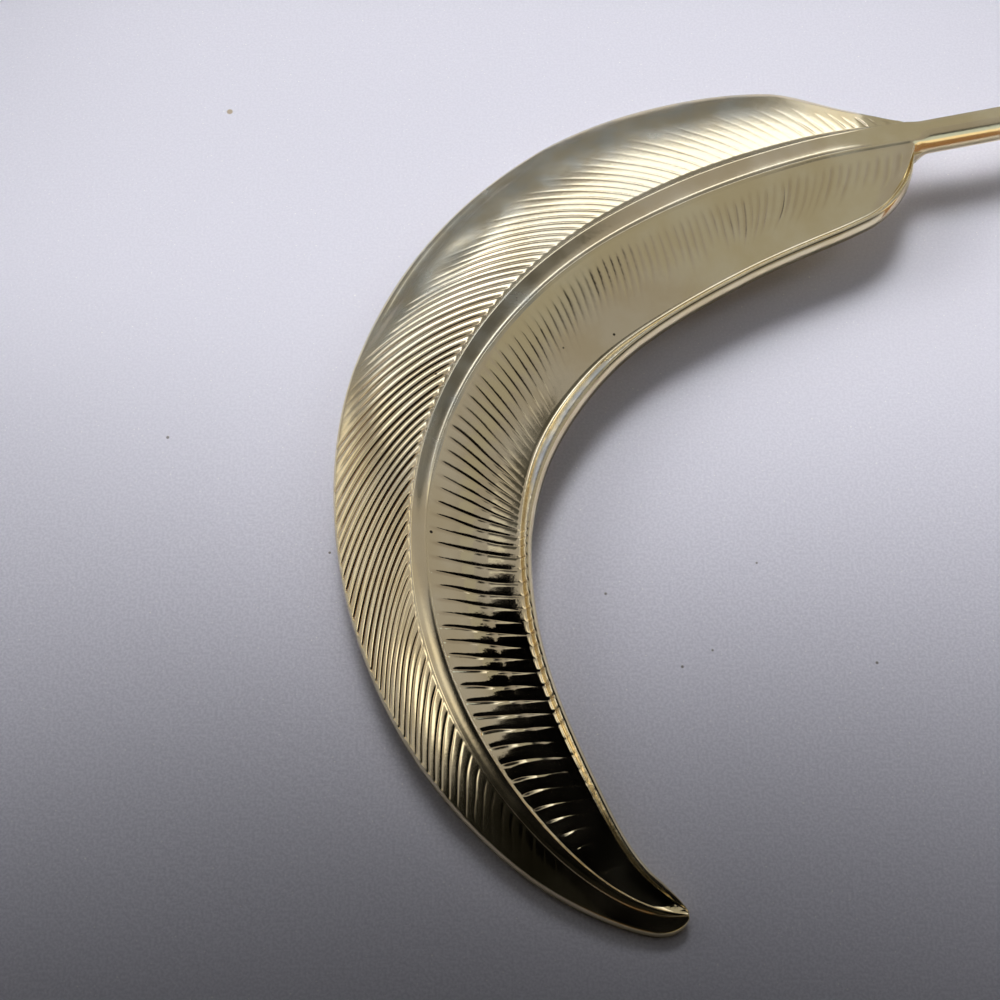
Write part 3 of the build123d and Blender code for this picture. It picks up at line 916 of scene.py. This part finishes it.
# Cards round the quill: a grey one above (near and far y, height) and one behind
# it (y, low and high z), and in front, from below, wood, a warm window and sky,
# each with its low and high z and its colour
QUILL_LEFT = 0.0128
QUILL_RIGHT = 0.034
QUILL_ABOVE = (-0.002, 0.040, 0.050)
QUILL_BEHIND = (0.0345, 0.000, 0.022)
QUILL_FRONT = 0.020
QUILL_FRONT_LEFT = 0.0143
QUILL_FRONT_ROWS = {
    "quill_wood": (0.0000, 0.0068, (0.30, 0.17, 0.09)),
    "quill_window": (0.0068, 0.0100, (1.25, 1.08, 0.80)),
    "quill_sky": (0.0100, 0.0172, (0.63, 0.74, 0.84)),
}
QUILL_GREY = (0.36, 0.355, 0.335)


def make_lights():
    """Soft boxes for the floor alone; the metal mirrors the room instead."""
    for name, numbers in FLOOR_LIGHTS.items():
        azimuth, elevation, distance, x, y, width, height, spread, watts = numbers
        light = bpy.data.lights.new(name, "AREA")
        light.shape = "RECTANGLE"
        light.size = width
        light.size_y = height
        light.spread = math.radians(spread)
        light.energy = watts
        light.color = LIGHT_COLOUR
        lamp = bpy.data.objects.new(name, light)
        lamp.visible_glossy = False
        toward = direction(azimuth, elevation)
        lamp.location = Vector((x, y, 0.0)) + toward * distance
        lamp.rotation_euler = toward.to_track_quat("Z", "Y").to_euler()
        bpy.context.scene.collection.objects.link(lamp)


def make_card(name, corners, glow, colour=(1, 1, 1)):
    """A studio card, out of the picture, seen only by reflection."""
    card = mesh_object(name, corners, [tuple(range(len(corners)))])
    material, tree, shader = new_material(name)
    shader.inputs["Base Color"].default_value = CARD_COLOUR
    shader.inputs["Specular IOR Level"].default_value = 0.0
    shader.inputs["Roughness"].default_value = 1.0
    shader.inputs["Emission Color"].default_value = (*colour, 1)
    shader.inputs["Emission Strength"].default_value = glow
    card.data.materials.append(material)
    card.visible_camera = False
    card.visible_diffuse = False
    card.visible_shadow = False


def make_quill_cards():
    """Upright and level cards that only the quill and the base beside it mirror."""
    left, right = QUILL_LEFT, QUILL_RIGHT
    near, far, z = QUILL_ABOVE
    level = np.array([(left, near, z), (right, near, z), (right, far, z), (left, far, z)])
    make_card("quill_above", level, 1.0, QUILL_GREY)
    upright_cards = [("quill_behind", left, *QUILL_BEHIND, QUILL_GREY)]
    for name, row in QUILL_FRONT_ROWS.items():
        upright_cards.append((name, QUILL_FRONT_LEFT, QUILL_FRONT, *row))
    for name, x, y, low, high, colour in upright_cards:
        upright = np.array([(x, y, low), (right, y, low), (right, y, high), (x, y, high)])
        make_card(name, upright, 1.0, colour)


# Room by direction, in degrees: azimuth from, to and softness, elevation from,
# to and softness, colour of the light that comes from there
ROOM_DARK = (0.005, 0.005, 0.004)
ROOM = [
    ("behind_high", -70, 70, 6, 56, 82, 4, (0.36, 0.35, 0.37)),
    ("behind", -70, 36, 5, -90, 60, 4, (0.36, 0.35, 0.37)),
    ("behind_low", -50, 36, 8, -90, 30, 4, (0.22, 0.225, 0.25)),
    ("left", -116, -64, 5, -90, 72, 5, (0.44, 0.42, 0.42)),
    ("left_low", -115, -94, 4, 25, 37.5, 3.5, (1.95, 1.88, 1.80)),
    ("slit_left", -86, -56, 4, 12, 26, 3, (0.95, 0.92, 0.88)),
    ("right_low", 50, 132, 3, -90, 40, 4, (0.36, 0.35, 0.36)),
    ("right", 50, 132, 3, 34, 80, 5, (0.33, 0.32, 0.33)),
    ("behind_right", 12, 34, 5, -8, 40, 5, (0.92, 0.92, 0.97)),
    ("near_right", 134, 166, 6, -90, 40, 6, (0.40, 0.34, 0.23)),
    ("near_left", -184, -158, 6, -90, 10, 4, (0.20, 0.12, 0.06)),
    ("bar_light", -125, -78, 8, 60, 74, 4, (1.00, 0.95, 0.90)),
    ("window_left", -52, -28, 4, 28, 40, 3, (1.90, 1.98, 2.25)),
    ("window_middle", -29, -17, 4, 31.5, 44, 3, (2.50, 2.64, 3.10)),
    ("window_right", 28, 50, 5, 28, 44, 4, (1.50, 1.52, 1.60)),
    ("window", -19, 32, 4, 36.6, 44, 3, (2.05, 2.17, 2.56)),
]


def make_room():
    """A dim room: paler behind and at the sides, dark overhead and on the near side."""
    world = bpy.data.worlds.new("studio")
    bpy.context.scene.world = world
    world.use_nodes = True
    world.cycles_visibility.diffuse = False
    tree = world.node_tree
    tree.nodes.clear()
    kit = Nodes(tree)
    output = kit.add("ShaderNodeOutputWorld")
    background = kit.add("ShaderNodeBackground")
    tree.links.new(background.outputs[0], output.inputs["Surface"])
    where = kit.add("ShaderNodeTexCoord")
    split = kit.add("ShaderNodeSeparateXYZ")
    tree.links.new(where.outputs["Generated"], split.inputs[0])
    azimuth = kit.math("ARCTAN2", split.outputs["X"], split.outputs["Y"])
    azimuth = kit.math("MULTIPLY", azimuth, 180 / math.pi)
    elevation = kit.math("ARCSINE", split.outputs["Z"])
    elevation = kit.math("MULTIPLY", elevation, 180 / math.pi)
    colour = (*ROOM_DARK, 1)
    for name, left, right, side, low, high, soft, light in ROOM:
        mask = kit.ramp(azimuth, left - side, left + side)
        for edge in (
            kit.ramp(azimuth, right - side, right + side, 1.0, 0.0),
            kit.ramp(elevation, low - soft, low + soft),
            kit.ramp(elevation, high - soft, high + soft, 1.0, 0.0),
        ):
            mask = kit.math("MULTIPLY", mask, edge)
        colour = kit.mix(mask, colour, (*light, 1))
    tree.links.new(colour, background.inputs["Color"])


# Camera: at the photograph's angle above the floor, for its square frame. Angles
# are degrees, the target and the distance millimetres, the sensor millimetres.
CAMERA_SENSOR = 36
CAMERA_ELEVATION = 66.0
CAMERA_AZIMUTH = 0.38
CAMERA_FIELD = 36.0
CAMERA_TARGET = (-17.43, -1.99, 2.0)
CAMERA_DISTANCE = 111.1


def make_camera():
    camera = bpy.data.cameras.new("camera")
    camera.sensor_width = CAMERA_SENSOR
    camera.lens = CAMERA_SENSOR / 2 / math.tan(math.radians(CAMERA_FIELD) / 2)
    camera.clip_start = 0.005
    holder = bpy.data.objects.new("camera", camera)
    back = direction(CAMERA_AZIMUTH + 180, CAMERA_ELEVATION)
    holder.location = (Vector(CAMERA_TARGET) + back * CAMERA_DISTANCE) * METRES
    holder.rotation_euler = back.to_track_quat("Z", "Y").to_euler()
    bpy.context.scene.collection.objects.link(holder)
    bpy.context.scene.camera = holder


feather = make_feather()
feather.data.materials.append(gold_material())
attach(feather, "root")
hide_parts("feather")

pin_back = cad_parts["pin_back"]
pin_back.data.materials.clear()
pin_back.data.materials.append(finding_material())

make_floor()
make_room()
make_lights()
for name, corners, level, glow in (
    ("shade_card", CARD_CORNERS, CARD_HEIGHT, 0.0),
    ("grey_card", GREY_CORNERS, CARD_HEIGHT, GREY_GLOW),
    ("pale_strip", PALE_CORNERS, PALE_HEIGHT, PALE_GLOW),
):
    make_card(name, np.array([(x, y, level) for x, y in corners]), glow)
make_card("side_card", np.array([(SIDE_CARD_X, y, z) for y, z in SIDE_CORNERS]), 0.0)
make_quill_cards()
make_camera()
bpy.context.scene.view_settings.view_transform = "Standard"
